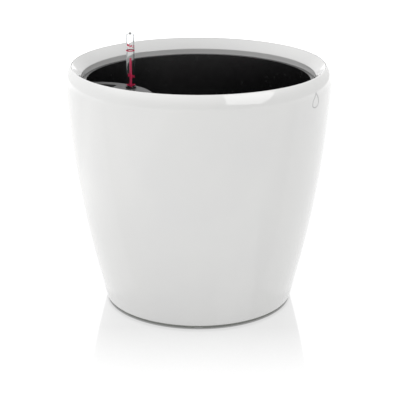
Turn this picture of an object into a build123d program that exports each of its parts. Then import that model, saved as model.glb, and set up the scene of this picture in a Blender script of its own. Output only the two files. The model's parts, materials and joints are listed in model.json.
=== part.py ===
from build123d import *
import math
import os

# Self watering planter, in millimetres.
# The origin is on the floor under the centre of the pot, +Z is up and -Y is the front.
# A round white shell holds a black liner. The liner's lower part is the water reservoir,
# closed above by a separator that carries the soil. A filling shaft stands on the separator
# beside the wall, and a float in a clear tube shows the water level above its cover.

# ---- outer shell, collar and foot ----
FOOT_HEIGHT = 4.0  # the foot ring stands this far below the shell
FOOT_OUTER = 123.5
FOOT_INNER = 110.0
FOOT_GROOVE = 2.5  # depth of the shell's groove that holds the foot ring
FOOT_GAPS = 6
FOOT_GAP_WIDTH = 10.0
FOOT_GAP_HEIGHT = 1.2
BASE_OUTER = 126.6  # radius of the wall at the bottom edge
BELLY_RADIUS = 159.8
BELLY_Z = 158.0
WALL_OUTER = 175.0  # largest radius, where the shoulder starts
WALL_Z = 300.0
CREST_RADIUS = 166.0
CREST_Z = 321.6
SHELL_WALL = 4.0
BASE_TOP = 8.0  # top of the shell's base plate
SHELL_DRAIN_RADIUS = 24.0
RIB_TOP = 12.0  # the liner stands on a spoked ring of this height
RIB_COUNT = 8
RIB_THICK = 3.5
RIB_START = 28.0  # the spokes run from here out to the ring
RIB_RING = 104.0
SHELF_Z = 300.0  # shelf inside the shell that carries the collar
COLLAR_OUTER = 165.4
COLLAR_TOP = 321.2
OPENING_RADIUS = 152.7  # clear radius inside the collar's lip
LIP_TOP = 308.0
LEDGE_Z = 297.6  # the liner's rim hangs on this ledge
LEDGE_INNER = 151.0
SKIN = 3.0  # wall thickness of the collar

# ---- liner ----
RIM_TOP = 301.0
RIM_OUTER = 152.2
RIM_STEP = 2.0  # gap between the liner's wall and the ledge under its rim
LINER_WALL = 2.3
TAPER = 0.0994  # growth of the liner's radius per millimetre of height, upper part
CONE_Z = 200.0  # lower end of the straight upper cone
LINER_FLOOR = 15.0  # top of the liner's floor
FLOOR_RADIUS = 107.0
HEEL_RADIUS = 110.2  # inside radius just above the floor
HEEL_Z = 17.0

# ---- handles ----
# They slide behind the liner's wall and their grips lie flush in its rim. Depths are
# measured from the rim down, along the handle's path.
HANDLE_AZIMUTHS = {"back": 110.7, "front": 290.7}
HANDLE_OUTER = 152.0  # radius of the handle's outer face at the rim
HANDLE_TAPER = 0.06  # outward travel per millimetre of rise
HANDLE_THICK = 2.0
HANDLE_HALF_WIDTH = 36.0
HANDLE_TOP = 0.3
HANDLE_LENGTH = 110.0
HANDLE_BAR = 12.0
HANDLE_LEG = 11.0
WINDOW_HALF_WIDTH = HANDLE_HALF_WIDTH - HANDLE_LEG
STOP_HEIGHT = 6.0  # stop feet at the ends of the legs
STOP_REACH = 3.8
LIP_HALF_WIDTH = 30.0
LIP_REACH = 6.0  # how far the finger lip reaches inwards from the outer face
LIP_DEPTH = 1.9  # depth of the finger lip's underside
GUIDE_TOP = 28.0
GUIDE_HEIGHT = 16.0
GUIDE_SKIN = 1.6  # from the handle's outer face to the guide's outside
GUIDE_REACH = 4.6  # from the handle's outer face to inside the liner's wall
GUIDE_SIDE = 3.0
SLIDE_GAP = 0.35

# ---- drain plug ----
PITCH = 4.0
BORE_RADIUS = 12.9
SHANK_RADIUS = 11.2
THREAD_DEPTH = 1.5
THREAD_LENGTH = 8.0
THREAD_START = 17.4
BOSS_RADIUS = 21.0
BOSS_TOP = 30.0
POCKET_RADIUS = 16.5
POCKET_TOP = 16.0
HEAD_RADIUS = 16.1
HEAD_BOTTOM = 12.3
HEAD_TOP = 14.8

# ---- overflow pipe ----
PIPE_RADIUS = 5.0
PIPE_BORE = 3.6
PIPE_TOP = 66.0
PIPE_DISTANCE = 96.0

# ---- separator ----
PLATE_Z = 76.0
PLATE_THICK = 3.0
PLATE_RADIUS = 118.6
LEG_RADIUS = 5.5
LEG_DISTANCE = 100.0
CUP_RADIUS = 18.0
CUP_FOOT_RADIUS = 12.0
CUP_FOOT_Z = 17.0
CUP_WALL = 1.6
CUP_FLANGE = 21.5
VENT_RADIUS = 2.2

# ---- filling shaft and its cover ----
SHAFT_AZIMUTH = 200.7
ARC_DISTANCE = 147.0  # from the pot's axis to the centre of the cover's inner edge
COVER_ARC = 81.0
COVER_RADIUS = 145.4
COVER_TOP = 290.0
COVER_THICK = 3.0
SHAFT_ARC = 80.0
SHAFT_RADIUS = 117.5  # outer radius of the shaft's straight lower part
SHAFT_HEAD_RADIUS = 144.5
SHAFT_FLARE_Z = 215.0
SHAFT_WALL = 2.0
SPIGOT_HEIGHT = 8.0
POUR_ARC = 69.0
POUR_RADIUS = 139.0
POUR_ANGLE = 64.0  # direction of the pour opening's straight end, seen from the arc's centre

# ---- level indicator ----
INDICATOR_X = -88.5
INDICATOR_Y = -4.0
SOCKET_RADIUS = 7.0
SOCKET_BORE = 6.05
SOCKET_TOP = 291.3
SOCKET_BOTTOM = 276.0
CAGE_RADIUS = 6.0
CAGE_BORE = 4.9
CAGE_FOOT = 17.5
CAGE_TOP = 292.3
CAGE_FLANGE = 6.7
TUBE_RADIUS = 5.4
TUBE_BORE = 4.5
TUBE_FOOT = 276.0
TUBE_TOP = 362.5
VENT_PLUG_RADIUS = 1.0
FLOAT_RADIUS = 4.4
FLOAT_BOTTOM = 56.0
FLOAT_LENGTH = 60.0
ROD_RADIUS = 1.6
ROD_TOP = 329.8

os.makedirs("parts", exist_ok=True)


def polar(distance, azimuth):
    """Point at a distance from the pot's axis, in a direction in degrees."""
    angle = math.radians(azimuth)
    return (distance * math.cos(angle), distance * math.sin(angle))


def save(builder, label):
    """Name the finished piece and write it."""
    builder.part.label = label
    export_step(builder.part, f"parts/{label}.step")


def liner_inside(z):
    """Inside radius of the liner at a height: a steep cone above, a wider taper below."""
    cone_radius = LEDGE_INNER - RIM_STEP - LINER_WALL + TAPER * (z - LEDGE_Z)
    if z >= CONE_Z:
        return cone_radius
    top = liner_inside(CONE_Z)
    return HEEL_RADIUS + (top - HEEL_RADIUS) * (z - HEEL_Z) / (CONE_Z - HEEL_Z)


def handle_plane(azimuth, depth):
    """Plane across a handle's path: x outward from the handle's outer face, z up along the path."""
    angle = math.radians(azimuth)
    lean = math.atan(HANDLE_TAPER)
    radial = Vector(math.cos(angle), math.sin(angle), 0)
    upward = radial * math.sin(lean) + Vector(0, 0, math.cos(lean))
    outward = radial * math.cos(lean) - Vector(0, 0, math.sin(lean))
    rim_point = radial * HANDLE_OUTER + Vector(0, 0, RIM_TOP)
    return Plane(origin=rim_point - upward * depth, x_dir=outward, z_dir=upward)


def wall_band(inner, outer, half_width):
    """Sketch of a band that follows the rim's curve, between two distances from the outer face."""
    with Locations((-HANDLE_OUTER, 0)):
        Circle(HANDLE_OUTER + outer)
        Circle(HANDLE_OUTER + inner, mode=Mode.SUBTRACT)
    Rectangle(40, 2 * half_width, mode=Mode.INTERSECT)


ARC_CENTRE = polar(ARC_DISTANCE, SHAFT_AZIMUTH)


def lens(arc_radius, wall_radius):
    """Sketch between an arc about ARC_CENTRE and a circle about the pot's axis."""
    with Locations(ARC_CENTRE):
        Circle(arc_radius)
    Circle(wall_radius, mode=Mode.INTERSECT)


# ======== outer shell ========
wall_foot = (BASE_OUTER, FOOT_HEIGHT + 1.5)
wall_inner = WALL_OUTER - SHELL_WALL
base_inner = BASE_OUTER - SHELL_WALL
inside_top = (wall_inner - 0.8, SHELF_Z - 12)
inside_foot = (base_inner + 1.5, BASE_TOP + 3)
collar_seat = COLLAR_OUTER + 0.5  # inner radius of the shoulder round the collar
shelf_inner = COLLAR_OUTER - 5
groove_top = FOOT_HEIGHT + FOOT_GROOVE

with BuildPart() as outer_shell:
    with BuildSketch(Plane.XZ):
        with BuildLine():
            wall = ThreePointArc(wall_foot, (BELLY_RADIUS, BELLY_Z), (WALL_OUTER, WALL_Z))
            TangentArc(wall @ 1, (CREST_RADIUS, CREST_Z), tangent=wall % 1)
            Polyline(
                (CREST_RADIUS, CREST_Z),
                (collar_seat, CREST_Z),
                (collar_seat, CREST_Z - 5),
                (wall_inner - 1.2, SHELF_Z + 10),
                (wall_inner - 0.4, SHELF_Z),
                (shelf_inner, SHELF_Z),
                (shelf_inner, SHELF_Z - SKIN),
                (wall_inner - 3, SHELF_Z - SKIN - 5),
                inside_top,
            )
            ThreePointArc(inside_top, (BELLY_RADIUS - SHELL_WALL, BELLY_Z), inside_foot)
            Polyline(
                inside_foot,
                (base_inner - 2, BASE_TOP),
                (SHELL_DRAIN_RADIUS, BASE_TOP),
                (SHELL_DRAIN_RADIUS, FOOT_HEIGHT),
                (FOOT_INNER, FOOT_HEIGHT),
                (FOOT_INNER, groove_top),
                (FOOT_OUTER, groove_top),
                (FOOT_OUTER, FOOT_HEIGHT),
                (BASE_OUTER - 1, FOOT_HEIGHT),
                wall_foot,
            )
        make_face()
    revolve(axis=Axis.Z)
save(outer_shell, "outer_shell")

# a spoked ring fixed on the shell's base carries the liner and leaves room for drained water
with BuildPart() as liner_support:
    with BuildSketch(Plane.XY.offset(BASE_TOP)):
        Circle(RIB_RING)
        Circle(RIB_RING - RIB_THICK, mode=Mode.SUBTRACT)
        with PolarLocations((RIB_RING + RIB_START) / 2, RIB_COUNT):
            Rectangle(RIB_RING - RIB_START - 1, RIB_THICK)
    extrude(amount=RIB_TOP - BASE_TOP)
save(liner_support, "liner_support")

with BuildPart() as foot_ring:
    with BuildSketch():
        Circle(FOOT_OUTER)
        Circle(FOOT_INNER, mode=Mode.SUBTRACT)
    extrude(amount=FOOT_HEIGHT + FOOT_GROOVE)
    chamfer(foot_ring.edges().group_by(Axis.Z)[0], length=0.8)
    # shallow gaps under the ring let drained water run out from below the pot
    with BuildSketch():
        with PolarLocations(FOOT_OUTER, FOOT_GAPS, start_angle=30):
            Rectangle(4 * FOOT_GAP_WIDTH, FOOT_GAP_WIDTH)
    extrude(amount=FOOT_GAP_HEIGHT, mode=Mode.SUBTRACT)
save(foot_ring, "foot_ring")

with BuildPart() as rim_collar:
    with BuildSketch(Plane.XZ):
        with BuildLine():
            slope = (COLLAR_TOP - LIP_TOP) / (COLLAR_OUTER - OPENING_RADIUS)
            drop = SKIN * math.hypot(1, slope)  # vertical thickness of the sloping part
            skirt = COLLAR_OUTER - SKIN
            Polyline(
                (COLLAR_OUTER, COLLAR_TOP),
                (OPENING_RADIUS, LIP_TOP),
                (OPENING_RADIUS, LEDGE_Z),
                (LEDGE_INNER, LEDGE_Z),
                (LEDGE_INNER, LEDGE_Z - SKIN),
                (OPENING_RADIUS + SKIN, LEDGE_Z - SKIN),
                (OPENING_RADIUS + SKIN, LIP_TOP + slope * SKIN - drop),
                (skirt, LIP_TOP + slope * (skirt - OPENING_RADIUS) - drop),
                (skirt, SHELF_Z),
                (COLLAR_OUTER, SHELF_Z),
                close=True,
            )
        make_face()
    revolve(axis=Axis.Z)
    # the lip's top edge is softly rounded
    lip_edge = rim_collar.edges().filter_by(
        lambda e: abs(e.radius - OPENING_RADIUS) < 0.01 and abs(e.center().Z - LIP_TOP) < 0.01
        if e.geom_type == GeomType.CIRCLE
        else False
    )
    fillet(lip_edge, radius=1.2)
    # gaps in the ledge that the handles and their guides pass through
    with BuildSketch(Plane.XY.offset(LEDGE_Z - SKIN)):
        with PolarLocations(OPENING_RADIUS, 2, start_angle=HANDLE_AZIMUTHS["back"]):
            Rectangle(20, 2 * (HANDLE_HALF_WIDTH + GUIDE_SIDE + 2))
        Circle(OPENING_RADIUS, mode=Mode.INTERSECT)
    extrude(amount=SKIN, mode=Mode.SUBTRACT)
save(rim_collar, "rim_collar")

# ======== liner ========
overflow_centre = polar(PIPE_DISTANCE, SHAFT_AZIMUTH - 180)
with BuildPart() as liner:
    with BuildSketch(Plane.XZ):
        with BuildLine():
            rim_inside = liner_inside(RIM_TOP)
            cone_inside = liner_inside(CONE_Z)
            Polyline(
                (0, LINER_FLOOR),
                (FLOOR_RADIUS, LINER_FLOOR),
                (HEEL_RADIUS, HEEL_Z),
                (cone_inside, CONE_Z),
                (rim_inside, RIM_TOP),
                (RIM_OUTER, RIM_TOP),
                (RIM_OUTER, LEDGE_Z),
                (LEDGE_INNER - RIM_STEP, LEDGE_Z),
                (cone_inside + LINER_WALL, CONE_Z),
                (HEEL_RADIUS + LINER_WALL, HEEL_Z - 1),
                (FLOOR_RADIUS + 1, RIB_TOP),
                (0, RIB_TOP),
                close=True,
            )
        make_face()
    revolve(axis=Axis.Z)
    with BuildSketch(Plane.XY.offset(LINER_FLOOR - 1)):
        Circle(BOSS_RADIUS)
        with Locations(overflow_centre):
            Circle(PIPE_RADIUS + 3)
    extrude(amount=6)
    with BuildSketch(Plane.XY.offset(LINER_FLOOR)):
        Circle(BOSS_RADIUS)
    extrude(amount=BOSS_TOP - LINER_FLOOR)
    with BuildSketch(Plane.XY.offset(RIB_TOP)):
        Circle(BORE_RADIUS)
        with Locations(overflow_centre):
            Circle(PIPE_RADIUS)
    extrude(amount=BOSS_TOP, mode=Mode.SUBTRACT)
    with BuildSketch(Plane.XY.offset(RIB_TOP)):
        Circle(POCKET_RADIUS)
    extrude(amount=POCKET_TOP - RIB_TOP, mode=Mode.SUBTRACT)
    # inside thread for the drain plug
    with BuildLine() as nut_path:
        Helix(pitch=PITCH, height=THREAD_LENGTH, radius=BORE_RADIUS + 0.1,
              center=(0, 0, THREAD_START + PITCH / 2))
    with BuildSketch(Plane(origin=nut_path.line @ 0, x_dir=(1, 0, 0), z_dir=nut_path.line % 0)):
        with BuildLine():
            Polyline((0.2, -0.9), (-THREAD_DEPTH, -0.45), (-THREAD_DEPTH, 0.45), (0.2, 0.9), close=True)
        make_face()
    sweep(path=nut_path.line, is_frenet=True)
    for azimuth in HANDLE_AZIMUTHS.values():
        # a guide for each of the handle's legs, on the outside of the wall
        with BuildSketch(handle_plane(azimuth, GUIDE_TOP)):
            wall_band(-GUIDE_REACH, GUIDE_SKIN, HANDLE_HALF_WIDTH + GUIDE_SIDE)
            Rectangle(40, 2 * (WINDOW_HALF_WIDTH - GUIDE_SIDE), mode=Mode.SUBTRACT)
        extrude(amount=-GUIDE_HEIGHT)
        with BuildSketch(handle_plane(azimuth, GUIDE_TOP)):
            wall_band(-HANDLE_THICK - SLIDE_GAP, SLIDE_GAP, HANDLE_HALF_WIDTH + SLIDE_GAP)
            Rectangle(40, 2 * (WINDOW_HALF_WIDTH - SLIDE_GAP), mode=Mode.SUBTRACT)
        extrude(amount=-GUIDE_HEIGHT, mode=Mode.SUBTRACT)
        # recesses in the rim for the grip and for its finger lip
        with BuildSketch(handle_plane(azimuth, -SKIN)):
            wall_band(-HANDLE_THICK - SLIDE_GAP, SKIN, HANDLE_HALF_WIDTH + SLIDE_GAP)
        extrude(amount=-2 * SKIN - LIP_DEPTH, mode=Mode.SUBTRACT)
        with BuildSketch(handle_plane(azimuth, -SKIN)):
            wall_band(-LIP_REACH - SKIN, -HANDLE_THICK, LIP_HALF_WIDTH + SLIDE_GAP)
        extrude(amount=-SKIN - LIP_DEPTH - 0.2, mode=Mode.SUBTRACT)
save(liner, "liner")

# ======== drain plug and its sealing ring ========
with BuildPart() as drain_plug:
    with BuildSketch(Plane.XY.offset(HEAD_BOTTOM)):
        Circle(HEAD_RADIUS)
    extrude(amount=HEAD_TOP - HEAD_BOTTOM)
    fillet(drain_plug.edges().group_by(Axis.Z)[0], radius=0.6)
    with BuildSketch(Plane.XY.offset(HEAD_TOP)):
        Circle(SHANK_RADIUS)
    extrude(amount=BOSS_TOP - HEAD_TOP - 2)
    # finger recess with a cross bar to turn the plug by
    with BuildSketch(Plane.XY.offset(HEAD_BOTTOM)):
        Circle(SHANK_RADIUS - 2.2)
        Rectangle(2 * SHANK_RADIUS, 3, mode=Mode.SUBTRACT)
    extrude(amount=9, mode=Mode.SUBTRACT)
    with BuildLine() as plug_path:
        Helix(pitch=PITCH, height=THREAD_LENGTH, radius=SHANK_RADIUS - 0.1, center=(0, 0, THREAD_START))
    with BuildSketch(Plane(origin=plug_path.line @ 0, x_dir=(1, 0, 0), z_dir=plug_path.line % 0)):
        with BuildLine():
            Polyline((-0.2, -0.9), (THREAD_DEPTH, -0.45), (THREAD_DEPTH, 0.45), (-0.2, 0.9), close=True)
        make_face()
    sweep(path=plug_path.line, is_frenet=True)
save(drain_plug, "drain_plug")

with BuildPart() as drain_plug_seal:
    with BuildSketch(Plane.XY.offset(HEAD_TOP)):
        Circle(HEAD_RADIUS)
        Circle(BORE_RADIUS + 0.05, mode=Mode.SUBTRACT)
    extrude(amount=POCKET_TOP - HEAD_TOP)
    fillet(drain_plug_seal.edges(), radius=0.4)
save(drain_plug_seal, "drain_plug_seal")

# ======== overflow pipe with its strainer ========
with BuildPart() as overflow_pipe:
    with BuildSketch(Plane.XY.offset(RIB_TOP)):
        with Locations(overflow_centre):
            Circle(PIPE_RADIUS)
            Circle(PIPE_BORE, mode=Mode.SUBTRACT)
    extrude(amount=PIPE_TOP - RIB_TOP)
save(overflow_pipe, "overflow_pipe")

with BuildPart() as overflow_strainer:
    with BuildSketch(Plane.XY.offset(PIPE_TOP - 8)):
        with Locations(overflow_centre):
            Circle(PIPE_RADIUS + 1.5)
            Circle(PIPE_RADIUS, mode=Mode.SUBTRACT)
    extrude(amount=14)
    with BuildSketch(Plane.XY.offset(PIPE_TOP + 6)):
        with Locations(overflow_centre):
            Circle(PIPE_RADIUS + 1.5)
    extrude(amount=1.5)
    with BuildSketch(Plane.XY.offset(PIPE_TOP)):
        with Locations(overflow_centre):
            with PolarLocations(0, 3):
                Rectangle(2 * PIPE_RADIUS + 6, 3)
    extrude(amount=5, mode=Mode.SUBTRACT)
save(overflow_strainer, "overflow_strainer")

# ======== handles ========
for side, azimuth in HANDLE_AZIMUTHS.items():
    rim_plane = handle_plane(azimuth, HANDLE_TOP)
    window_plane = Plane(
        origin=handle_plane(azimuth, HANDLE_BAR + HANDLE_LENGTH / 2).origin,
        x_dir=rim_plane.y_dir,
        z_dir=rim_plane.x_dir,
    )
    with BuildPart() as liner_handle:
        with BuildSketch(rim_plane):
            wall_band(-HANDLE_THICK, 0, HANDLE_HALF_WIDTH)
        extrude(amount=HANDLE_TOP - HANDLE_LENGTH)
        # window between the legs, open at the bottom
        with BuildSketch(window_plane):
            RectangleRounded(2 * WINDOW_HALF_WIDTH, HANDLE_LENGTH, radius=8)
        extrude(amount=20, both=True, mode=Mode.SUBTRACT)
        # finger lip along the top and stop feet at the bottom
        with BuildSketch(rim_plane):
            wall_band(-LIP_REACH, -HANDLE_THICK / 2, LIP_HALF_WIDTH)
        extrude(amount=HANDLE_TOP - LIP_DEPTH)
        with BuildSketch(handle_plane(azimuth, HANDLE_LENGTH)):
            wall_band(-STOP_REACH, -HANDLE_THICK / 2, HANDLE_HALF_WIDTH)
            Rectangle(40, 2 * WINDOW_HALF_WIDTH, mode=Mode.SUBTRACT)
        extrude(amount=STOP_HEIGHT)
    save(liner_handle, f"liner_handle_{side}")

# ======== separator ========
plate_top = PLATE_Z + PLATE_THICK
cup_centres = [polar(62, SHAFT_AZIMUTH - 180), polar(72, 100), polar(72, 301)]
leg_azimuths = [SHAFT_AZIMUTH - 50.7, SHAFT_AZIMUTH + 50.7, SHAFT_AZIMUTH + 140, SHAFT_AZIMUTH + 220]
leg_centres = [polar(LEG_DISTANCE, azimuth) for azimuth in leg_azimuths]


def is_free(x, y):
    """True where a vent hole stays clear of the cups, the legs and the shaft's spigot."""
    if any(math.dist((x, y), c) < CUP_FLANGE + 5 for c in cup_centres):
        return False
    if any(math.dist((x, y), c) < LEG_RADIUS + 5 for c in leg_centres):
        return False
    return math.dist((x, y), ARC_CENTRE) > SHAFT_ARC + 5


vent_points = []
for distance, count in ((12, 6), (26, 12), (40, 18), (54, 24), (82, 36), (96, 42), (109, 48)):
    for step in range(count):
        point = polar(distance, 360 * step / count)
        if is_free(*point):
            vent_points.append(point)

with BuildPart() as separator_plate:
    with BuildSketch(Plane.XY.offset(PLATE_Z)):
        Circle(PLATE_RADIUS)
    extrude(amount=PLATE_THICK)
    fillet(separator_plate.edges().group_by(Axis.Z)[-1], radius=0.8)
    # upright edge band that stiffens the plate, and the spigot that locates the shaft
    with BuildSketch(Plane.XY.offset(PLATE_Z - 6)):
        Circle(PLATE_RADIUS - 2)
        Circle(PLATE_RADIUS - 4, mode=Mode.SUBTRACT)
    extrude(amount=7)
    with BuildSketch(Plane.XY.offset(PLATE_Z)):
        lens(SHAFT_ARC - SHAFT_WALL - 0.4, SHAFT_RADIUS - SHAFT_WALL - 0.4)
    extrude(amount=PLATE_THICK + SPIGOT_HEIGHT)
    with BuildSketch(Plane.XY.offset(PLATE_Z - 10)):
        lens(SHAFT_ARC - 2 * SHAFT_WALL - 0.4, SHAFT_RADIUS - 2 * SHAFT_WALL - 0.4)
        with Locations(*cup_centres):
            Circle(CUP_RADIUS + 0.4)
        with Locations(*leg_centres):
            Circle(LEG_RADIUS - 2)
        with Locations(*vent_points):
            Circle(VENT_RADIUS)
    extrude(amount=PLATE_THICK + SPIGOT_HEIGHT + 20, mode=Mode.SUBTRACT)
save(separator_plate, "separator_plate")

with BuildPart() as separator_legs:
    with BuildSketch(Plane.XY.offset(LINER_FLOOR)):
        with Locations(*leg_centres):
            Circle(LEG_RADIUS)
    extrude(amount=PLATE_Z - LINER_FLOOR)
    with BuildSketch(Plane.XY.offset(PLATE_Z)):
        with Locations(*leg_centres):
            Circle(LEG_RADIUS - 2)
    extrude(amount=PLATE_THICK + 0.5)
save(separator_legs, "separator_legs")

for number, centre in enumerate(cup_centres, start=1):
    with BuildPart() as wick_cup:
        with BuildSketch(Plane.XY.offset(CUP_FOOT_Z)):
            with Locations(centre):
                Circle(CUP_FOOT_RADIUS)
        with BuildSketch(Plane.XY.offset(plate_top)):
            with Locations(centre):
                Circle(CUP_RADIUS)
        loft()
        with BuildSketch(Plane.XY.offset(plate_top)):
            with Locations(centre):
                Circle(CUP_FLANGE)
        extrude(amount=CUP_WALL)
        fillet(wick_cup.edges().group_by(Axis.Z)[-1], radius=0.6)
        with BuildSketch(Plane.XY.offset(CUP_FOOT_Z + CUP_WALL)):
            with Locations(centre):
                Circle(CUP_FOOT_RADIUS - CUP_WALL)
        with BuildSketch(Plane.XY.offset(plate_top + CUP_WALL)):
            with Locations(centre):
                Circle(CUP_RADIUS - CUP_WALL)
        loft(mode=Mode.SUBTRACT)
        # wicking slots round the wall and through the foot
        with BuildSketch(Plane.XY.offset(CUP_FOOT_Z - 1)):
            with Locations(centre):
                with PolarLocations(CUP_RADIUS, 8):
                    Rectangle(2 * CUP_RADIUS - 8, 3.2)
        extrude(amount=46, mode=Mode.SUBTRACT)
    save(wick_cup, f"wick_cup_{number}")

# ======== filling shaft ========
shaft_top = COVER_TOP - COVER_THICK


def shaft_solid(arc_radius, inset, bottom, top):
    """Lens-shaped column whose outer side flares towards the liner's wall near the top."""
    with BuildPart() as column:
        with BuildSketch(Plane.XY.offset(bottom)):
            lens(arc_radius, SHAFT_HEAD_RADIUS)
        extrude(amount=top - bottom)
        with BuildSketch(Plane.XZ):
            with BuildLine():
                Polyline(
                    (0, bottom),
                    (SHAFT_RADIUS - inset, bottom),
                    (SHAFT_RADIUS - inset, SHAFT_FLARE_Z),
                    (SHAFT_HEAD_RADIUS - inset, shaft_top - 8),
                    (SHAFT_HEAD_RADIUS - inset, top),
                    (0, top),
                    close=True,
                )
            make_face()
        revolve(axis=Axis.Z, mode=Mode.INTERSECT)
    return column.part


shaft_outside = shaft_solid(SHAFT_ARC, 0, plate_top, shaft_top)
shaft_inside = shaft_solid(SHAFT_ARC - SHAFT_WALL, SHAFT_WALL, plate_top - 1, shaft_top + 1)
with BuildPart() as fill_shaft:
    add(shaft_outside)
    add(shaft_inside, mode=Mode.SUBTRACT)
save(fill_shaft, "fill_shaft")

with BuildPart() as fill_shaft_cover:
    with BuildSketch(Plane.XY.offset(shaft_top)):
        lens(COVER_ARC, COVER_RADIUS)
    extrude(amount=COVER_THICK)
    fillet(fill_shaft_cover.edges().group_by(Axis.Z)[-1], radius=0.9)
    with BuildSketch(Plane.XY.offset(shaft_top - 1)):
        lens(POUR_ARC, POUR_RADIUS)
        with Locations(ARC_CENTRE):
            Rectangle(2 * POUR_ARC, 2 * POUR_ARC, rotation=POUR_ANGLE, align=(Align.CENTER, Align.MIN),
                      mode=Mode.INTERSECT)
    extrude(amount=COVER_THICK + 2, mode=Mode.SUBTRACT)
    with BuildSketch(Plane.XY.offset(shaft_top - 1)):
        with Locations((INDICATOR_X, INDICATOR_Y)):
            Circle(SOCKET_RADIUS)
    extrude(amount=COVER_THICK + 2, mode=Mode.SUBTRACT)
save(fill_shaft_cover, "fill_shaft_cover")

# ======== level indicator ========
axis_point = (INDICATOR_X, INDICATOR_Y)


def ring(outer, inner):
    """Sketch of a ring about the indicator's axis."""
    with Locations(axis_point):
        Circle(outer)
        Circle(inner, mode=Mode.SUBTRACT)


with BuildPart() as indicator_socket:
    with BuildSketch(Plane.XY.offset(SOCKET_BOTTOM)):
        ring(SOCKET_RADIUS, SOCKET_BORE)
    extrude(amount=SOCKET_TOP - SOCKET_BOTTOM)
    fillet(indicator_socket.edges().group_by(Axis.Z)[-1], radius=0.35)
    with BuildSketch(Plane.XY.offset(shaft_top)):
        ring(SOCKET_RADIUS + 1.5, SOCKET_BORE)
    extrude(amount=-1.5)
save(indicator_socket, "indicator_socket")

with BuildPart() as float_cage:
    with BuildSketch(Plane.XY.offset(CAGE_FOOT)):
        ring(CAGE_RADIUS, CAGE_BORE)
    extrude(amount=CAGE_TOP - CAGE_FOOT)
    with BuildSketch(Plane.XY.offset(SOCKET_TOP)):
        ring(CAGE_FLANGE, CAGE_BORE)
    extrude(amount=CAGE_TOP - SOCKET_TOP)
    with BuildSketch(Plane.XY.offset(CAGE_FOOT)):
        with Locations(axis_point):
            Circle(CAGE_RADIUS)
    extrude(amount=2)
    # seat of the clear tube
    with BuildSketch(Plane.XY.offset(TUBE_FOOT)):
        with Locations(axis_point):
            Circle(TUBE_RADIUS)
    extrude(amount=CAGE_TOP - TUBE_FOOT, mode=Mode.SUBTRACT)
    # water slots, in three tiers, two crossed slots each
    for tier in range(3):
        with BuildSketch(Plane.XY.offset(CAGE_FOOT + 5 + 38 * tier)):
            with Locations(axis_point):
                with PolarLocations(0, 2, angular_range=180):
                    Rectangle(2 * CAGE_RADIUS + 2, 3)
        extrude(amount=30, mode=Mode.SUBTRACT)
save(float_cage, "float_cage")

tube_plane = Plane(origin=(INDICATOR_X, INDICATOR_Y, 0), x_dir=(1, 0, 0), z_dir=(0, -1, 0))
with BuildPart() as indicator_tube:
    with BuildSketch(tube_plane):
        with BuildLine():
            shoulder = TUBE_RADIUS - 1.8
            inner_shoulder = TUBE_BORE - 1.7
            ceiling = TUBE_TOP - 1.1
            Polyline((1.8, TUBE_TOP), (VENT_PLUG_RADIUS, TUBE_TOP), (VENT_PLUG_RADIUS, ceiling), (1.7, ceiling))
            RadiusArc((1.7, ceiling), (TUBE_BORE, ceiling - inner_shoulder), inner_shoulder)
            Polyline(
                (TUBE_BORE, ceiling - inner_shoulder),
                (TUBE_BORE, TUBE_FOOT),
                (TUBE_RADIUS, TUBE_FOOT),
                (TUBE_RADIUS, TUBE_TOP - shoulder),
            )
            RadiusArc((TUBE_RADIUS, TUBE_TOP - shoulder), (1.8, TUBE_TOP), -shoulder)
        make_face()
    revolve(axis=Axis((INDICATOR_X, INDICATOR_Y, 0), (0, 0, 1)))
save(indicator_tube, "indicator_tube")

with BuildPart() as tube_vent_plug:
    with BuildSketch(Plane.XY.offset(TUBE_TOP - 2.2)):
        with Locations(axis_point):
            Circle(VENT_PLUG_RADIUS)
    extrude(amount=3.4)
    fillet(tube_vent_plug.edges().group_by(Axis.Z)[-1], radius=0.6)
save(tube_vent_plug, "tube_vent_plug")

with BuildPart() as level_float:
    with BuildSketch(Plane.XY.offset(FLOAT_BOTTOM)):
        with Locations(axis_point):
            Circle(FLOAT_RADIUS)
    extrude(amount=FLOAT_LENGTH)
    fillet(level_float.edges(), radius=1.2)
    with BuildSketch(Plane.XY.offset(FLOAT_BOTTOM + FLOAT_LENGTH - 10)):
        with Locations(axis_point):
            Circle(ROD_RADIUS)
    extrude(amount=12, mode=Mode.SUBTRACT)
save(level_float, "level_float")

with BuildPart() as float_rod:
    with BuildSketch(Plane.XY.offset(FLOAT_BOTTOM + FLOAT_LENGTH - 10)):
        with Locations(axis_point):
            Circle(ROD_RADIUS)
    extrude(amount=ROD_TOP - FLOAT_BOTTOM - FLOAT_LENGTH + 10)
    fillet(float_rod.edges().group_by(Axis.Z)[-1], radius=0.8)
save(float_rod, "float_rod")
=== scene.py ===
import json
import math

import bmesh
import bpy
from mathutils import Matrix, Vector


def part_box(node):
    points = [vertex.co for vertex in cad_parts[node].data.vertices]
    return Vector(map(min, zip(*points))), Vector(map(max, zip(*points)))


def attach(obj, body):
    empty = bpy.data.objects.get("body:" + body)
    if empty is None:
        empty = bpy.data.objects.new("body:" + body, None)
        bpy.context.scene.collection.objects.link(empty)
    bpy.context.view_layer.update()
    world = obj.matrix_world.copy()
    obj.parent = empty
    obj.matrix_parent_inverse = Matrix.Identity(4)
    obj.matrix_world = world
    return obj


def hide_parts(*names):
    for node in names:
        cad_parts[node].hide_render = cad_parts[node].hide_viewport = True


# Self watering planter, in metres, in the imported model's frame:
# origin on the floor under the pot's centre, +Z up, -Y the front.

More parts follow.
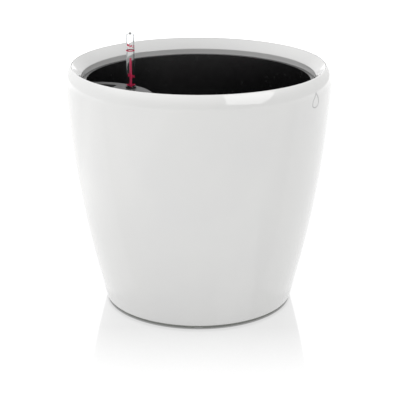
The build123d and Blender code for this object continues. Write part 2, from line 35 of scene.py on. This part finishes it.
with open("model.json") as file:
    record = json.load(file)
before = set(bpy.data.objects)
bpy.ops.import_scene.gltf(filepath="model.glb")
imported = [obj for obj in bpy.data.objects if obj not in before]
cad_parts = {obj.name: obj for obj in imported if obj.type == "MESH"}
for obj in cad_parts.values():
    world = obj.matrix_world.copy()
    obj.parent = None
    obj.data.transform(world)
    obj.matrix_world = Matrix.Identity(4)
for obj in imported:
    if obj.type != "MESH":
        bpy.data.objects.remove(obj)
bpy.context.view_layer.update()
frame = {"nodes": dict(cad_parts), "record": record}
nodes = frame["nodes"]

MM = 0.001
SEGMENTS = 256  # steps round the big lathed shells
GAP_STEPS = 8  # steps in each half of a gap
SHARP = math.radians(32)  # edges that turn by more than this stay crisp
AXIS = Vector((0, 0, 0))


def centre(node):
    """Middle of a CAD node's box."""
    low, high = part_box(node)
    return (low + high) / 2


# ======== materials ========


class Nodes:
    """A material's node tree with short calls for the nodes used below."""

    def __init__(self, name):
        self.material = bpy.data.materials.new(name)
        self.material.use_nodes = True
        self.tree = self.material.node_tree
        self.shader = next(n for n in self.tree.nodes if n.type == "BSDF_PRINCIPLED")
        self.place = self.tree.nodes.new("ShaderNodeTexCoord").outputs["Object"]

    def set(self, **values):
        """Plain values on the shader's own sockets. An underscore in a name stands for a space."""
        for name, value in values.items():
            self.shader.inputs[name.replace("_", " ")].default_value = value

    def link(self, source, target):
        self.tree.links.new(source, target)

    def noise(self, scale, detail, roughness=0.5, stretch=(1, 1, 1)):
        """Noise in the object's own space."""
        mapping = self.tree.nodes.new("ShaderNodeMapping")
        mapping.inputs["Scale"].default_value = stretch
        self.link(self.place, mapping.inputs["Vector"])
        node = self.tree.nodes.new("ShaderNodeTexNoise")
        node.inputs["Scale"].default_value = scale
        node.inputs["Detail"].default_value = detail
        node.inputs["Roughness"].default_value = roughness
        self.link(mapping.outputs["Vector"], node.inputs["Vector"])
        return node.outputs["Fac"]

    def range(self, value, low, high, from_low=0.3, from_high=0.7):
        """The value mapped from one span to another and held at its ends."""
        node = self.tree.nodes.new("ShaderNodeMapRange")
        node.inputs["From Min"].default_value = from_low
        node.inputs["From Max"].default_value = from_high
        node.inputs["To Min"].default_value = low
        node.inputs["To Max"].default_value = high
        self.link(value, node.inputs["Value"])
        return node.outputs["Result"]

    def mix(self, factor, first, second):
        """Blend of two colours."""
        node = self.tree.nodes.new("ShaderNodeMix")
        node.data_type = "RGBA"
        self.link(factor, node.inputs["Factor"])
        node.inputs[6].default_value = (*first, 1)
        node.inputs[7].default_value = (*second, 1)
        return node.outputs[2]

    def math(self, operation, first, second=None):
        """Result of a math node on one socket, and on a second socket or a number if given."""
        node = self.tree.nodes.new("ShaderNodeMath")
        node.operation = operation
        self.link(first, node.inputs[0])
        if isinstance(second, float):
            node.inputs[1].default_value = second
        elif second is not None:
            self.link(second, node.inputs[1])
        return node.outputs[0]

    def bump(self, height, strength, distance, below=None):
        """Surface relief, on top of the relief below it."""
        node = self.tree.nodes.new("ShaderNodeBump")
        node.inputs["Strength"].default_value = strength
        node.inputs["Distance"].default_value = distance
        self.link(height, node.inputs["Height"])
        if below is not None:
            self.link(below, node.inputs["Normal"])
        return node.outputs["Normal"]

    def use(self, colour, roughness, normal=None):
        """Connect the surface's parts and give the finished material."""
        for name, source in (("Base Color", colour), ("Roughness", roughness), ("Normal", normal)):
            if source is not None:
                self.link(source, self.shader.inputs[name])
        return self.material


def gloss_plastic(name, light, shade, rough=(0.10, 0.17)):
    """Polished lacquered plastic: a slight cloudiness in the colour and a faint orange peel."""
    m = Nodes(name)
    cloud = m.noise(14, 4)
    haze = m.noise(60, 5)
    peel = m.noise(420, 2)
    m.set(IOR=1.5, Coat_Weight=1.0, Coat_Roughness=0.03, Coat_IOR=1.5)
    return m.use(
        m.mix(m.range(cloud, 0, 1), shade, light),
        m.range(haze, *rough),
        m.bump(peel, 0.02, 0.2 * MM),
    )


def satin_plastic(name, light, shade, rough=(0.36, 0.5), level=0.45):
    """Moulded plastic with a fine spark-eroded grain, faint flow marks and worn high spots."""
    m = Nodes(name)
    flow = m.noise(26, 5, stretch=(1, 1, 0.25))
    wear = m.noise(140, 6, 0.65)
    grain = m.noise(2600, 2)
    m.set(IOR=1.5, Specular_IOR_Level=level)
    return m.use(
        m.mix(m.range(flow, 0, 1), shade, light),
        m.range(wear, *rough),
        m.bump(wear, 0.05, 0.3 * MM, m.bump(grain, 0.12, 0.1 * MM)),
    )


def rubber(name, light, shade):
    """Matt rubber with a powdery bloom."""
    m = Nodes(name)
    bloom = m.noise(300, 6, 0.7)
    m.set(IOR=1.45, Specular_IOR_Level=0.3)
    return m.use(
        m.mix(m.range(bloom, 0, 1), shade, light),
        m.range(bloom, 0.7, 0.9),
        m.bump(bloom, 0.2, 0.1 * MM),
    )


def clear_plastic(name):
    """Clear moulded tube with painted shade darkening its rounded edges where they turn away from view,
    and faint drawing marks along its length.
    """
    m = Nodes(name)
    streak = m.noise(900, 3, stretch=(1, 1, 0.05))
    weight = m.tree.nodes.new("ShaderNodeLayerWeight")
    weight.inputs["Blend"].default_value = 0.5
    # painted shade: the colour darkens towards the tube's edges as they turn away from view
    painted_edge_shade = m.range(weight.outputs["Facing"], 0, 1, 0.25, 0.65)
    m.set(IOR=1.25, Transmission_Weight=1.0)
    return m.use(
        m.mix(painted_edge_shade, (0.98, 0.985, 0.985), (0.22, 0.24, 0.25)),
        m.range(streak, 0.01, 0.03),
        m.bump(streak, 0.02, 0.05 * MM),
    )


def red_plastic(name):
    """Faintly translucent red rod, its tone drifting slowly along its length."""
    m = Nodes(name)
    flow = m.noise(90, 3, stretch=(1, 1, 0.15))
    m.set(IOR=1.5, Transmission_Weight=0.15, Coat_Weight=0.3, Coat_Roughness=0.05)
    return m.use(
        m.mix(m.range(flow, 0, 1), (0.60, 0.012, 0.08), (0.72, 0.02, 0.11)),
        m.range(flow, 0.2, 0.3),
        m.bump(flow, 0.03, 0.1 * MM),
    )


def ink(name, shade, light):
    """Printing ink, slightly uneven."""
    m = Nodes(name)
    mottle = m.noise(1800, 4)
    m.set(IOR=1.45, Specular_IOR_Level=0.3)
    return m.use(
        m.mix(m.range(mottle, 0, 1), shade, light),
        m.range(mottle, 0.4, 0.55),
        m.bump(mottle, 0.05, 0.02 * MM),
    )


def foam(name):
    """Fine closed-cell foam."""
    m = Nodes(name)
    cells = m.tree.nodes.new("ShaderNodeTexVoronoi")
    cells.inputs["Scale"].default_value = 900
    m.link(m.place, cells.inputs["Vector"])
    distance = cells.outputs["Distance"]
    m.set(IOR=1.4, Specular_IOR_Level=0.25)
    return m.use(
        m.mix(m.range(distance, 0, 1, 0, 1), (0.78, 0.77, 0.73), (0.86, 0.85, 0.82)),
        m.range(distance, 0.6, 0.8, 0, 1),
        m.bump(distance, 0.25, 0.15 * MM),
    )


def floor_finish(name):
    """Pale polished sweep with slight clouding and a painted glow of its own, though it is no lamp.

    The painted glow rises towards the front, where the polish fades away. It is a little stronger
    to both sides of the pot's width, and far out on the left, as painted light, and it dims where the
    foot meets the floor in a painted contact shadow.
    """
    m = Nodes(name)
    cloud = m.noise(3, 4)
    split = m.tree.nodes.new("ShaderNodeSeparateXYZ")
    m.link(m.place, split.inputs[0])
    across, along = split.outputs["X"], split.outputs["Y"]
    # painted glow: the floor's emission rises towards the front
    front = m.range(along, 0.90, 0.59, -0.33, -0.12)

    # painted light: the glow is raised to both sides of the pot's width, lifting the shade beside the
    # pot, and far out on the left
    past_front = m.range(along, 0, 1, -0.13, -0.11)
    past_side = m.range(m.math("ABSOLUTE", across), 0, 0.13, 0.135, 0.145)
    painted_light_beside = m.math("MULTIPLY", past_front, past_side)

    not_behind = m.range(along, 1, 0, 0.2, 0.35)
    painted_light_far_left = m.math("MULTIPLY", not_behind, m.range(across, 0.17, 0, -0.45, -0.30))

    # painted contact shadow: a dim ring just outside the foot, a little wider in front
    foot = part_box("foot_ring")[1].x
    depth = m.math("ADD", along, 3 * MM)
    square = m.math("ADD", m.math("MULTIPLY", across, across), m.math("MULTIPLY", depth, depth))
    painted_contact_shadow = m.range(m.math("SQRT", square), 0.35, 1, foot, foot + 1.3 * MM)

    # the floor's painted glow, dimmed by the painted contact shadow at the foot
    glow = m.math("ADD", front, m.math("ADD", painted_light_beside, painted_light_far_left))
    m.set(IOR=1.9, Emission_Color=(1, 1, 1, 1))
    m.link(m.math("MULTIPLY", glow, painted_contact_shadow), m.shader.inputs["Emission Strength"])
    m.link(m.range(along, 0.0, 0.5, -0.36, -0.12), m.shader.inputs["Specular IOR Level"])
    return m.use(
        m.mix(m.range(cloud, 0, 1), (0.145, 0.145, 0.145), (0.155, 0.155, 0.155)),
        m.range(cloud, 0.04, 0.06),
    )


def grey(level):
    return (level, level, level)


SMOOTH, MATT = (0.22, 0.28), (0.4, 0.5)  # spans of roughness

FINISH = {
    "shell_white": gloss_plastic("shell_white", (0.695, 0.695, 0.685), (0.68, 0.68, 0.675), (0.05, 0.08)),
    # painted shade: the collar is the shell's white plastic, its colour darkened for the shade it sits in
    "collar_white": gloss_plastic("collar_white", (0.64, 0.64, 0.635), (0.625, 0.625, 0.62)),
    "foot_grey": satin_plastic("foot_grey", (0.27, 0.28, 0.26), (0.23, 0.24, 0.225)),
    "liner_black": satin_plastic(
        "liner_black", (0.004, 0.004, 0.0044), (0.0025, 0.0025, 0.0028), SMOOTH, level=0.65
    ),
    "pipe_black": satin_plastic("pipe_black", (0.02, 0.02, 0.021), (0.012, 0.012, 0.013)),
    "handle_black": satin_plastic(
        "handle_black", (0.018, 0.018, 0.019), (0.011, 0.011, 0.012), (0.38, 0.5)
    ),
    "plug_black": satin_plastic("plug_black", (0.03, 0.03, 0.031), (0.018, 0.018, 0.019)),
    "seal_rubber": rubber("seal_rubber", grey(0.05), grey(0.03)),
    "separator_black": satin_plastic("separator_black", (0.026, 0.026, 0.027), (0.016, 0.016, 0.017)),
    "shaft_black": satin_plastic(
        "shaft_black", (0.006, 0.006, 0.0065), (0.004, 0.004, 0.0044), level=0.3
    ),
    "cover_grey": satin_plastic("cover_grey", grey(0.064), grey(0.053), MATT, level=0.2),
    "socket_black": satin_plastic("socket_black", grey(0.006), grey(0.004), MATT, level=0.3),
    "clear_tube": clear_plastic("clear_tube"),
    "vent_dark": satin_plastic("vent_dark", grey(0.12), grey(0.09)),
    "float_white": foam("float_white"),
    "rod_red": red_plastic("rod_red"),
    "print_red": ink("print_red", (0.58, 0.01, 0.07), (0.68, 0.018, 0.09)),
    "print_grey": ink("print_grey", grey(0.30), grey(0.36)),
}

# ======== mesh helpers ========


def arc_through(first, middle, last, count):
    """Points on the circle through three points, both ends included."""
    (ax, ay), (bx, by), (cx, cy) = first, middle, last
    d = 2 * (ax * (by - cy) + bx * (cy - ay) + cx * (ay - by))
    a2, b2, c2 = ax * ax + ay * ay, bx * bx + by * by, cx * cx + cy * cy
    ux = (a2 * (by - cy) + b2 * (cy - ay) + c2 * (ay - by)) / d
    uy = (a2 * (cx - bx) + b2 * (ax - cx) + c2 * (bx - ax)) / d
    radius = math.hypot(ax - ux, ay - uy)
    start = math.atan2(ay - uy, ax - ux)
    sweep = math.remainder(math.atan2(cy - uy, cx - ux) - start, math.tau)
    angles = [start + sweep * step / count for step in range(count + 1)]
    return [(ux + radius * math.cos(a), uy + radius * math.sin(a)) for a in angles]


def outline(corners, steps=5):
    """Closed outline from (r, z) or (r, z, rounding radius) corners."""
    points = []
    for index, corner in enumerate(corners):
        here = Vector(corner[:2])
        if len(corner) == 2:
            points.append(here)
            continue
        before = (Vector(corners[index - 1][:2]) - here).normalized()
        after = (Vector(corners[(index + 1) % len(corners)][:2]) - here).normalized()
        half = before.angle(after) / 2
        back = corner[2] / math.tan(half)
        start, end = here + before * back, here + after * back
        middle = here + (before + after).normalized() * (corner[2] / math.sin(half))
        first = math.atan2(*(start - middle).yx)
        sweep = math.remainder(math.atan2(*(end - middle).yx) - first, math.tau)
        for step in range(steps + 1):
            angle = first + sweep * step / steps
            points.append(middle + Vector((math.cos(angle), math.sin(angle))) * corner[2])
    return points


def finish_mesh(name, bm, slot, body, replaces=()):
    """Object from a bmesh, smooth shaded, with its finish and body."""
    bmesh.ops.remove_doubles(bm, verts=bm.verts, dist=1e-7)
    bmesh.ops.recalc_face_normals(bm, faces=bm.faces)
    mesh = bpy.data.meshes.new(name)
    bm.to_mesh(mesh)
    bm.free()
    mesh.shade_smooth()
    mesh.set_sharp_from_angle(angle=SHARP)
    mesh.materials.append(FINISH[slot])
    piece = bpy.data.objects.new(name, mesh)
    bpy.context.scene.collection.objects.link(piece)
    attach(piece, body)
    if replaces:
        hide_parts(*replaces)
    return piece


def turns_of(points, segments, gaps, cut):
    """Angles and outlines of a revolved shape, in order round its axis.

    Inside each gap, a (middle, half width) pair of angles, the outline is the cut one, and
    at a gap's edges both outlines stand at the same angle, which closes the step between them.
    """
    turns = [(math.tau * step / segments, 0, points) for step in range(segments)]
    for middle, half in gaps:
        turns = [turn for turn in turns if abs(math.remainder(turn[0] - middle, math.tau)) > half]
        turns.append((middle - half, -1, points))
        turns += [(middle + half * k / GAP_STEPS, 0, cut) for k in range(-GAP_STEPS, GAP_STEPS + 1)]
        turns.append((middle + half, 1, points))
    ordered = sorted(turns, key=lambda turn: (turn[0] % math.tau, turn[1]))
    return [(angle, shape) for angle, _, shape in ordered]


def join_rings(bm, rings):
    """Faces between each ring of vertices and the next, the last joined to the first."""
    for step, here in enumerate(rings):
        there = rings[(step + 1) % len(rings)]
        for i in range(len(here)):
            j = (i + 1) % len(here)
            bm.faces.new((here[i], there[i], there[j], here[j]))


def spin(bm, points, segments=SEGMENTS, about=AXIS, gaps=(), cut=None):
    """Revolve a closed (r, z) outline about a vertical axis."""
    rings = []
    for angle, shape in turns_of(points, segments, gaps, cut):
        c, s = math.cos(angle), math.sin(angle)
        rings.append([bm.verts.new((about.x + r * c, about.y + r * s, z)) for r, z in shape])
    join_rings(bm, rings)


def lathe(name, points, slot, body, replaces=(), segments=SEGMENTS, about=AXIS, gaps=(), cut=None):
    """Finished piece revolved from one outline."""
    bm = bmesh.new()
    spin(bm, points, segments, about, gaps, cut)
    return finish_mesh(name, bm, slot, body, replaces)


# ======== outer shell ========

shell_low, shell_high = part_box("outer_shell")
BASE_Z = shell_low.z
BASE_OUTER = shell_high.x - 48.4 * MM
BELLY = (shell_high.x - 15.2 * MM, 158.0 * MM)  # halfway up the wall's long curve
WALL_OUTER = shell_high.x  # widest, where the shoulder starts
WALL_Z = shell_high.z - 21.6 * MM
CREST_RADIUS = WALL_OUTER - 9.0 * MM
CREST_Z = shell_high.z
SHOULDER_STEPS = 20
WALL = 4.0 * MM
BASE_TOP = 8.0 * MM
SHELF_Z = 300.0 * MM  # shelf inside the shell that carries the collar
DRAIN_RADIUS = 24.0 * MM
FOOT_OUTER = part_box("foot_ring")[1].x
FOOT_INNER = FOOT_OUTER - 13.5 * MM
GROOVE_TOP = BASE_Z + 2.5 * MM  # groove under the base that holds the foot ring
COLLAR_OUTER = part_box("rim_collar")[1].x
DROP_STEPS = 72


def shell_wall(count=56):
    """The outside wall from the bottom edge up over the shoulder to the crest."""
    wall = arc_through((BASE_OUTER, BASE_Z + 1.5 * MM), BELLY, (WALL_OUTER, WALL_Z), count)
    rise = Vector(wall[-1]) - Vector(wall[-2])
    start, crest = Vector(wall[-1]), Vector((CREST_RADIUS, CREST_Z))
    chord = crest - start
    lean = 2 * rise.angle(chord)  # the shoulder's turn, tangent to the wall at its start
    radius = chord.length / (2 * math.sin(lean / 2))
    inward = Vector((-rise.y, rise.x)).normalized()
    middle = start + inward * radius
    first = math.atan2(*(start - middle).yx)
    for step in range(1, SHOULDER_STEPS + 1):
        angle = first + lean * step / SHOULDER_STEPS
        wall.append((middle.x + radius * math.cos(angle), middle.y + radius * math.sin(angle)))
    return wall


def make_shell():
    """Hollow shell with the collar's shelf, the drain hole and the foot ring's groove."""
    wall = shell_wall()
    inner = WALL_OUTER - WALL
    heel = (BASE_OUTER - WALL + 1.5 * MM, 11 * MM)
    under_shelf = (inner - 0.8 * MM, SHELF_Z - 12 * MM)
    inside = arc_through(under_shelf, (BELLY[0] - WALL, BELLY[1]), heel, 40)
    rebate = COLLAR_OUTER + 0.5 * MM
    shelf_edge = COLLAR_OUTER - 5 * MM
    top = outline([
        wall[-2],
        (rebate, CREST_Z, 0.35 * MM),
        (rebate, CREST_Z - 5 * MM, 1 * MM),
        (inner - 1.2 * MM, SHELF_Z + 10 * MM, 3 * MM),
        (inner - 0.4 * MM, SHELF_Z, 0.5 * MM),
        (shelf_edge, SHELF_Z, 0.6 * MM),
        (shelf_edge, SHELF_Z - 3 * MM, 0.6 * MM),
        (inner - 3 * MM, SHELF_Z - 8 * MM, 2 * MM),
        under_shelf,
    ])[1:-1]
    bottom = outline([
        heel,
        (BASE_OUTER - WALL - 2 * MM, BASE_TOP, 3 * MM),
        (DRAIN_RADIUS, BASE_TOP, 1.2 * MM),
        (DRAIN_RADIUS, BASE_Z, 1.2 * MM),
        (FOOT_INNER, BASE_Z, 0.4 * MM),
        (FOOT_INNER, GROOVE_TOP),
        (FOOT_OUTER, GROOVE_TOP),
        (FOOT_OUTER, BASE_Z, 0.4 * MM),
        (BASE_OUTER - 0.6 * MM, BASE_Z, 0.5 * MM),
        (BASE_OUTER, BASE_Z + 1.5 * MM),
    ])[1:-1]
    bm = bmesh.new()
    spin(bm, [Vector(p) for p in wall[:-1]] + top + [Vector(p) for p in inside] + bottom)
    return finish_mesh("shell_body", bm, "shell_white", "planter", ["outer_shell"])


make_shell()


def make_drop(azimuth=-33.5, z=297 * MM, height=19 * MM, line=0.5 * MM):
    """Small printed outline of a water drop on the shell, high on its right side."""
    wall = shell_wall()
    sunk, proud = -0.02 * MM, 0.03 * MM  # the ink's faces, measured from the wall

    def wall_radius(level):
        for (r0, z0), (r1, z1) in zip(wall, wall[1:]):
            if z0 <= level <= z1:
                return r0 + (r1 - r0) * (level - z0) / (z1 - z0)

    def drop_point(turn):
        """Point of a drop about its centre, with its tip where the turn is zero."""
        return Vector((
            0.56 * height * math.sin(turn) * math.sin(turn / 2) ** 1.5,
            0.5 * height * math.cos(turn),
        ))

    drop = [drop_point(math.tau * k / DROP_STEPS) for k in range(DROP_STEPS)]
    bm = bmesh.new()
    rings = []
    for k, point in enumerate(drop):
        run = (drop[(k + 1) % DROP_STEPS] - drop[k - 1]).normalized()
        side = Vector((-run.y, run.x)) * line
        if k == 0:
            side = Vector((0, line * 2))  # the tip's mitre
        ring = []
        for sideways, out in ((-1, sunk), (1, sunk), (1, proud), (-1, proud)):
            u, v = point + side * sideways
            radius = wall_radius(z + v) + out
            angle = math.radians(azimuth) + u / radius
            ring.append(bm.verts.new((radius * math.cos(angle), radius * math.sin(angle), z + v)))
        rings.append(ring)
    join_rings(bm, rings)
    return finish_mesh("drop_mark", bm, "print_grey", "planter")


make_drop()

# ======== collar ========

COLLAR_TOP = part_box("rim_collar")[1].z
OPENING = 152.7 * MM  # radius inside the lip
LIP_TOP = 308.0 * MM
LEDGE_Z = 297.6 * MM  # the liner's rim hangs on this ledge
LEDGE_INNER = 151.0 * MM
SKIN = 3.0 * MM  # thickness of the collar's walls
HANDLE_AZIMUTHS = (110.7, 290.7)
HANDLE_GAP = 41.0 * MM  # half the width of the gaps in the ledge


def make_collar():
    """Collar that slopes in to the opening, with the ledge that carries the liner."""
    slope = (COLLAR_TOP - LIP_TOP) / (COLLAR_OUTER - OPENING)
    drop = SKIN * math.hypot(1, slope)  # the sloping wall's thickness, measured upright
    lip = OPENING + SKIN
    skirt = COLLAR_OUTER - SKIN
    points = outline([
        (COLLAR_OUTER, COLLAR_TOP, 0.35 * MM),
        (OPENING, LIP_TOP, 1.6 * MM),
        (OPENING, LEDGE_Z),
        (LEDGE_INNER, LEDGE_Z, 0.3 * MM),
        (LEDGE_INNER, LEDGE_Z - SKIN, 0.3 * MM),
        (lip, LEDGE_Z - SKIN, 0.5 * MM),
        (lip, LIP_TOP + slope * SKIN - drop, 1 * MM),
        (skirt, LIP_TOP + slope * (skirt - OPENING) - drop, 1 * MM),
        (skirt, SHELF_Z, 0.4 * MM),
        (COLLAR_OUTER, SHELF_Z, 0.4 * MM),
    ])
    # the ledge is cut away where the handles and their guides pass through
    cut = [(max(r, OPENING), z) for r, z in points]
    gaps = [(math.radians(a), HANDLE_GAP / OPENING) for a in HANDLE_AZIMUTHS]
    return lathe("collar_ring", points, "collar_white", "planter", ["rim_collar"], gaps=gaps, cut=cut)


make_collar()

# ======== foot ring ========

FOOT_GAPS = 6
FOOT_GAP_WIDTH = 10.0 * MM
FOOT_GAP_HEIGHT = 1.2 * MM


def make_foot():
    """Foot ring held in the groove under the base."""
    low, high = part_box("foot_ring")
    points = outline([
        (FOOT_INNER, low.z, 0.9 * MM),
        (FOOT_OUTER, low.z, 0.9 * MM),
        (FOOT_OUTER, high.z, 0.3 * MM),
        (FOOT_INNER, high.z, 0.3 * MM),
    ])
    # shallow gaps in the underside let drained water out
    cut = [(r, max(z, low.z + FOOT_GAP_HEIGHT)) for r, z in points]
    half = FOOT_GAP_WIDTH / 2 / FOOT_OUTER
    gaps = [(math.radians(360 * (k + 0.5) / FOOT_GAPS), half) for k in range(FOOT_GAPS)]
    return lathe("foot_band", points, "foot_grey", "planter", ["foot_ring"], gaps=gaps, cut=cut)


make_foot()

# ======== level indicator ========

tube_low, tube_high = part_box("indicator_tube")
plug_low, plug_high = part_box("tube_vent_plug")
STEM = Vector((*centre("indicator_tube").xy, 0))  # the indicator's vertical axis
TUBE_RADIUS = (tube_high.x - tube_low.x) / 2
TUBE_BORE = TUBE_RADIUS - 0.9 * MM
MARKS = {"MAX": 339.8 * MM, "MIN": 294.6 * MM}  # heights of the level rings
LETTERING = {"MAX": 344.6 * MM, "MIN": 305.0 * MM}  # heights of the words' baselines
TYPE_SIZE = 5.46 * MM
PRINT = 0.05 * MM  # thickness of the printed ink


def make_tube():
    """Clear tube with a domed top and a hole for the vent plug."""
    vent = (plug_high.x - plug_low.x) / 2
    ceiling = tube_high.z - 1.1 * MM
    points = outline([
        (vent, tube_high.z),
        (vent, ceiling),
        (TUBE_BORE, ceiling, 2.8 * MM),
        (TUBE_BORE, tube_low.z, 0.2 * MM),
        (TUBE_RADIUS, tube_low.z, 0.2 * MM),
        (TUBE_RADIUS, tube_high.z, 3.6 * MM),
    ], steps=8)
    return lathe("clear_tube", points, "clear_tube", "indicator", ["indicator_tube"], 64, STEM)


def make_rod():
    """Red rod with a rounded top."""
    low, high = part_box("float_rod")
    radius = (high.x - low.x) / 2
    points = outline([
        (0, low.z),
        (radius, low.z, 0.3 * MM),
        (radius, high.z, 1.2 * MM),
        (0, high.z),
    ], steps=6)
    return lathe("red_rod", points, "rod_red", "float", ["float_rod"], 32, STEM)


def make_float():
    """Foam float, hollow for the rod, with a wider mouth below."""
    low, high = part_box("level_float")
    radius = (high.x - low.x) / 2
    points = outline([
        (1.6 * MM, low.z + 1 * MM),
        (2.4 * MM, low.z, 0.4 * MM),
        (radius, low.z, 1.4 * MM),
        (radius, high.z, 1.4 * MM),
        (1.65 * MM, high.z, 0.3 * MM),
        (1.65 * MM, low.z + 2 * MM),
    ], steps=6)
    return lathe("foam_float", points, "float_white", "float", ["level_float"], 48, STEM)


def make_mark(word, z):
    """Printed ring round the tube."""
    points = outline([
        (TUBE_RADIUS - 0.01 * MM, z - 0.7 * MM),
        (TUBE_RADIUS + PRINT * 4, z - 0.55 * MM),
        (TUBE_RADIUS + PRINT * 4, z + 0.55 * MM),
        (TUBE_RADIUS - 0.01 * MM, z + 0.7 * MM),
    ])
    return lathe("ring_" + word.lower(), points, "print_red", "indicator", segments=64, about=STEM)


def make_word(word, z, facing=-76, slant=15):
    """Lettering printed round the tube, its line falling slightly to the right."""
    curve = bpy.data.curves.new(word, "FONT")
    curve.body = word
    curve.size = TYPE_SIZE
    curve.align_x = "CENTER"
    curve.resolution_u = 4
    curve.extrude = PRINT
    curve.offset = 0.1 * MM  # bolder strokes
    text = bpy.data.objects.new("lettering_" + word.lower(), curve)
    bpy.context.scene.collection.objects.link(text)
    bpy.context.view_layer.update()
    mesh = bpy.data.meshes.new_from_object(text)
    bpy.data.objects.remove(text)
    bm = bmesh.new()
    bm.from_mesh(mesh)
    bmesh.ops.remove_doubles(bm, verts=bm.verts, dist=1e-7)
    bmesh.ops.triangulate(bm, faces=bm.faces)
    lean = math.tan(math.radians(slant))
    for vert in bm.verts:
        x, y, depth = vert.co
        angle = math.radians(facing) + x / TUBE_RADIUS
        radius = TUBE_RADIUS + depth + PRINT * 0.9
        around = Vector((radius * math.cos(angle), radius * math.sin(angle), z + y - x * lean))
        vert.co = STEM + around
    return finish_mesh("lettering_" + word.lower(), bm, "print_red", "indicator")


make_tube()
make_rod()
make_float()
for word, z in MARKS.items():
    make_mark(word, z)
for word, z in LETTERING.items():
    make_word(word, z)

# ======== finishes of the CAD nodes that stay ========

for entry in frame["record"]["subparts"]:
    node = nodes[entry["node"]]
    if not node.hide_render:
        node.data.materials.clear()
        node.data.materials.append(FINISH[entry["material_slot"]])

# ======== floor, light and camera ========

FLOOR_HALF = 9.0


def make_floor():
    """Floor the planter stands on, wide enough to fill the picture's lower part."""
    bm = bmesh.new()
    bmesh.ops.create_grid(bm, x_segments=8, y_segments=8, size=FLOOR_HALF)
    mesh = bpy.data.meshes.new("floor")
    bm.to_mesh(mesh)
    bm.free()
    mesh.materials.append(floor_finish("floor_white"))
    floor = bpy.data.objects.new("floor", mesh)
    bpy.context.scene.collection.objects.link(floor)


def make_world(horizon=0.97, zenith=1.45, left=0.15, front=0.74, behind=1.8):
    """White surroundings: brighter overhead, behind and on the left, darker in front."""
    world = bpy.data.worlds.new("studio")
    world.use_nodes = True
    tree = world.node_tree
    background = tree.nodes["Background"]
    direction = tree.nodes.new("ShaderNodeTexCoord")
    split = tree.nodes.new("ShaderNodeSeparateXYZ")
    tree.links.new(direction.outputs["Generated"], split.inputs["Vector"])

    def ramp(axis, low, high, from_low, from_high):
        node = tree.nodes.new("ShaderNodeMapRange")
        node.interpolation_type = "SMOOTHSTEP"
        node.inputs["From Min"].default_value = from_low
        node.inputs["From Max"].default_value = from_high
        node.inputs["To Min"].default_value = low
        node.inputs["To Max"].default_value = high
        tree.links.new(split.outputs[axis], node.inputs["Value"])
        return node.outputs["Result"]

    def combine(operation, first, second):
        node = tree.nodes.new("ShaderNodeMath")
        node.operation = operation
        tree.links.new(first, node.inputs[0])
        tree.links.new(second, node.inputs[1])
        return node.outputs[0]

    # directions run from -1 to 1 on each axis
    height = ramp("Z", horizon, zenith, 0.4, 0.75)
    depth = ramp("Y", front, 1, -1, 0.1)
    side = ramp("X", 1 + left, 1 - left, -1, 1)
    # a brighter upright strip straight behind the planter
    strip = combine("MULTIPLY", ramp("Y", 0, behind - 1, 0.72, 0.9), ramp("X", 0, 1, -0.22, -0.18))
    strip = combine("MULTIPLY", strip, ramp("X", 1, 0, 0.18, 0.22))
    glow = combine("MULTIPLY", height, combine("ADD", depth, strip))
    tree.links.new(combine("MULTIPLY", glow, side), background.inputs["Strength"])
    background.inputs["Color"].default_value = (1, 1, 1, 1)
    bpy.context.scene.world = world


def make_softbox(name, place, target, width, height, glow, roll):
    """Rectangular light aimed at a point, seen only in reflections. Glow is its radiance."""
    light = bpy.data.lights.new(name, "AREA")
    light.shape = "RECTANGLE"
    light.size = width
    light.size_y = height
    light.energy = glow * math.pi * width * height
    lamp = bpy.data.objects.new(name, light)
    aim = (Vector(target) - Vector(place)).to_track_quat("-Z", "Y").to_matrix()
    turn = Matrix.Rotation(math.radians(roll), 3, "Z")
    lamp.matrix_world = Matrix.Translation(place) @ (aim @ turn).to_4x4()
    lamp.visible_camera = False
    lamp.visible_diffuse = False
    bpy.context.scene.collection.objects.link(lamp)


def make_camera(distance=1.6548, height=0.6993, tilt=71.11, lens=116.4, shift=0.00375):
    """Camera in front of the planter, looking slightly down on it."""
    data = bpy.data.cameras.new("camera")
    data.lens = lens
    data.sensor_width = 36
    data.shift_x = shift
    camera = bpy.data.objects.new("camera", data)
    camera.location = (0, -distance, height)
    camera.rotation_euler = (math.radians(tilt), 0, 0)
    bpy.context.scene.collection.objects.link(camera)
    bpy.context.scene.camera = camera


make_floor()
make_world()
make_softbox(
    "key",
    place=(1.168, -1.039, 1.574),
    target=(0.06, -0.15, 0.31),
    width=1.25,
    height=1.9,
    glow=1.8,
    roll=-28,
)
make_camera()
bpy.context.scene.view_settings.view_transform = "Standard"
